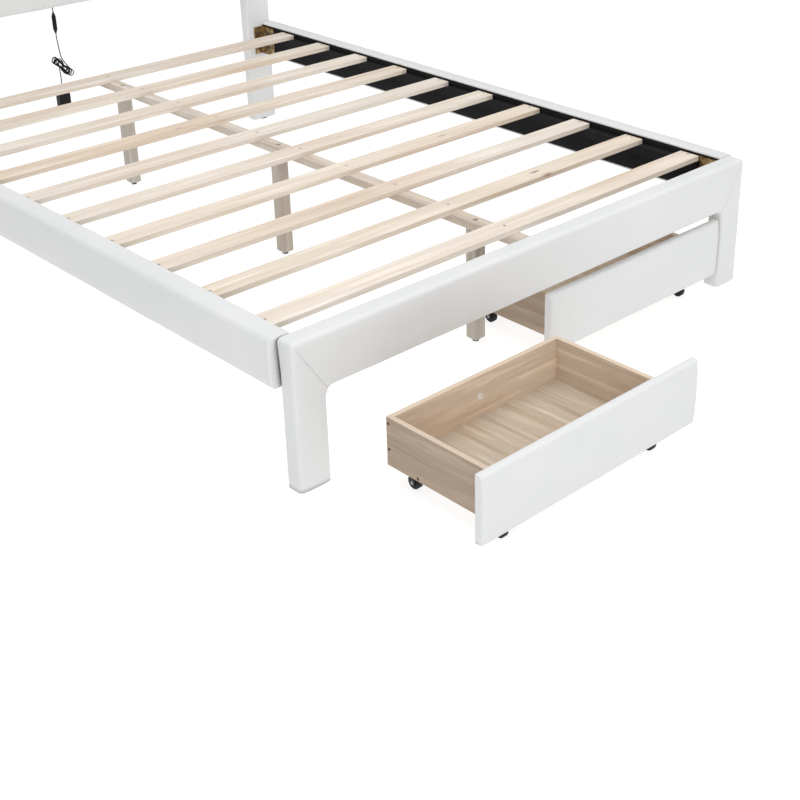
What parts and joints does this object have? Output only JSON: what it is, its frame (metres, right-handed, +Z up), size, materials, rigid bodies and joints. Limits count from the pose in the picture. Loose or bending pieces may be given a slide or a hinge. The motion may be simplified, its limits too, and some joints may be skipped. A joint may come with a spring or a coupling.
{
  "type": "platform bed with storage drawers",
  "caption": "Low upholstered platform bed frame with slatted base, padded headboard and wheeled storage drawers that roll out from under the footboard.",
  "frame": {"origin": "on the floor, in the middle of the box round the bed and its pulled-out left drawer, without the cord", "axes": "+X to the right seen from the foot, +Y from foot to head, +Z up"},
  "size_m": [1.496, 2.4785, 1.06],
  "materials": {
    "white_leather": "satin",
    "frame_board": "matte",
    "black_lining": "matte",
    "pine": "matte",
    "black_plastic": "satin",
    "yellow_zinc": "satin",
    "dark_steel": "satin",
    "light_strip": "translucent silicone",
    "cord_sheath": "satin",
    "drawer_core": "matte",
    "oak_board": "satin melamine, oak pattern",
    "bronze_screw": "satin",
    "white_plastic": "gloss",
    "caster_plastic": "satin",
    "wheel_plastic": "satin"
  },
  "bodies": {
    "bed_frame": {"footboard_frame": "frame_board", "side_rail_boards": "frame_board", "headboard_frame": "frame_board", "footboard_cover": "white_leather", "side_rail_left_cover": "white_leather", "side_rail_right_cover": "white_leather", "headboard_cover": "white_leather", "side_rail_linings": "black_lining", "slat_ledgers": "black_lining", "headboard_back_lining": "black_lining", "slat_01": "pine", "slat_02": "pine", "slat_03": "pine", "slat_04": "pine", "slat_05": "pine", "slat_06": "pine", "slat_07": "pine", "slat_08": "pine", "slat_09": "pine", "slat_10": "pine", "centre_rail": "pine", "centre_legs": "pine", "leg_glides": "black_plastic", "inline_connector": "black_plastic", "power_adapter": "black_plastic", "cable_gland": "black_plastic", "corner_brackets": "yellow_zinc", "bracket_bolts": "dark_steel", "slat_screws": "dark_steel", "led_strip": "light_strip", "cord_upper": "cord_sheath", "cord_middle": "cord_sheath", "cord_hank": "cord_sheath", "cord_lower": "cord_sheath"},
    "left_drawer": {"left_drawer_front_cover": "white_leather", "left_drawer_front_board": "drawer_core", "left_drawer_side_left": "oak_board", "left_drawer_side_right": "oak_board", "left_drawer_back": "oak_board", "left_drawer_bottom": "oak_board", "left_drawer_fasteners": "bronze_screw", "left_drawer_cap": "white_plastic", "left_drawer_casters": "caster_plastic"},
    "left_drawer_wheel_front_left": {"left_drawer_wheel_front_left": "wheel_plastic"},
    "left_drawer_wheel_front_right": {"left_drawer_wheel_front_right": "wheel_plastic"},
    "left_drawer_wheel_rear_left": {"left_drawer_wheel_rear_left": "wheel_plastic"},
    "left_drawer_wheel_rear_right": {"left_drawer_wheel_rear_right": "wheel_plastic"},
    "right_drawer": {"right_drawer_front_cover": "white_leather", "right_drawer_front_board": "drawer_core", "right_drawer_side_left": "oak_board", "right_drawer_side_right": "oak_board", "right_drawer_back": "oak_board", "right_drawer_bottom": "oak_board", "right_drawer_fasteners": "bronze_screw", "right_drawer_cap": "white_plastic", "right_drawer_casters": "caster_plastic"},
    "right_drawer_wheel_front_left": {"right_drawer_wheel_front_left": "wheel_plastic"},
    "right_drawer_wheel_front_right": {"right_drawer_wheel_front_right": "wheel_plastic"},
    "right_drawer_wheel_rear_left": {"right_drawer_wheel_rear_left": "wheel_plastic"},
    "right_drawer_wheel_rear_right": {"right_drawer_wheel_rear_right": "wheel_plastic"}
  },
  "joints": [
    {"name": "left_drawer_slide", "type": "slide", "parent": "bed_frame", "child": "left_drawer", "axis": [0, -1, 0], "range_m": [-0.424, 0.07]},
    {"name": "left_drawer_wheel_front_left_spin", "type": "hinge", "parent": "left_drawer", "child": "left_drawer_wheel_front_left", "pos_m": [-0.547, -1.176, 0.016], "axis": [1, 0, 0], "continuous": true},
    {"name": "left_drawer_wheel_front_right_spin", "type": "hinge", "parent": "left_drawer", "child": "left_drawer_wheel_front_right", "pos_m": [-0.099, -1.176, 0.016], "axis": [1, 0, 0], "continuous": true},
    {"name": "left_drawer_wheel_rear_left_spin", "type": "hinge", "parent": "left_drawer", "child": "left_drawer_wheel_rear_left", "pos_m": [-0.547, -0.937, 0.016], "axis": [1, 0, 0], "continuous": true},
    {"name": "left_drawer_wheel_rear_right_spin", "type": "hinge", "parent": "left_drawer", "child": "left_drawer_wheel_rear_right", "pos_m": [-0.099, -0.937, 0.016], "axis": [1, 0, 0], "continuous": true},
    {"name": "right_drawer_slide", "type": "slide", "parent": "bed_frame", "child": "right_drawer", "axis": [0, -1, 0], "range_m": [0, 0.5]},
    {"name": "right_drawer_wheel_front_left_spin", "type": "hinge", "parent": "right_drawer", "child": "right_drawer_wheel_front_left", "pos_m": [0.099, -0.752, 0.016], "axis": [1, 0, 0], "continuous": true},
    {"name": "right_drawer_wheel_front_right_spin", "type": "hinge", "parent": "right_drawer", "child": "right_drawer_wheel_front_right", "pos_m": [0.547, -0.752, 0.016], "axis": [1, 0, 0], "continuous": true},
    {"name": "right_drawer_wheel_rear_left_spin", "type": "hinge", "parent": "right_drawer", "child": "right_drawer_wheel_rear_left", "pos_m": [0.099, -0.513, 0.016], "axis": [1, 0, 0], "continuous": true},
    {"name": "right_drawer_wheel_rear_right_spin", "type": "hinge", "parent": "right_drawer", "child": "right_drawer_wheel_rear_right", "pos_m": [0.547, -0.513, 0.016], "axis": [1, 0, 0], "continuous": true}
  ]
}
